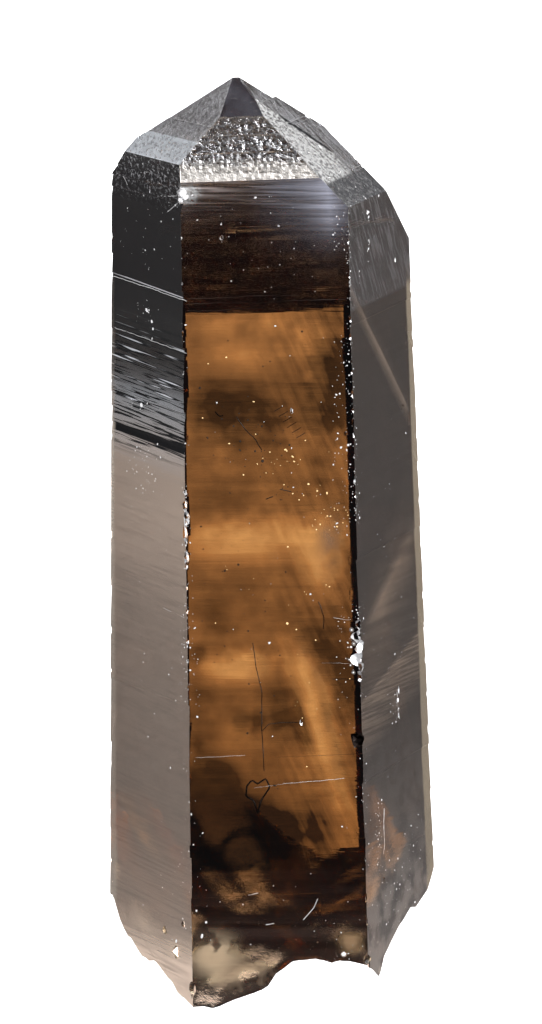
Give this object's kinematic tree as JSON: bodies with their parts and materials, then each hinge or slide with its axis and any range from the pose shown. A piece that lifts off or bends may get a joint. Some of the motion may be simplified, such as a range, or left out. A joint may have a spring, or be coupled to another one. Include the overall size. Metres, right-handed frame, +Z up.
{
  "type": "smoky quartz crystal",
  "caption": "Loose smoky quartz point: a tapering six-sided prism with a chisel-tipped faceted point and a shell-fractured foot, lying on one long face.",
  "frame": {"origin": "middle of the crystal's box, on the plane of the long face that it lies on", "axes": "+Y along the crystal to its point, +Z up out of the face opposite the one it lies on, +X to the right with the point away"},
  "size_m": [0.033, 0.0926, 0.0276],
  "materials": {
    "smoky_quartz": "clear smoky brown crystal with glossy striated long faces and etched point faces"
  },
  "bodies": {
    "root": {"crystal": "smoky_quartz"}
  },
  "joints": []
}
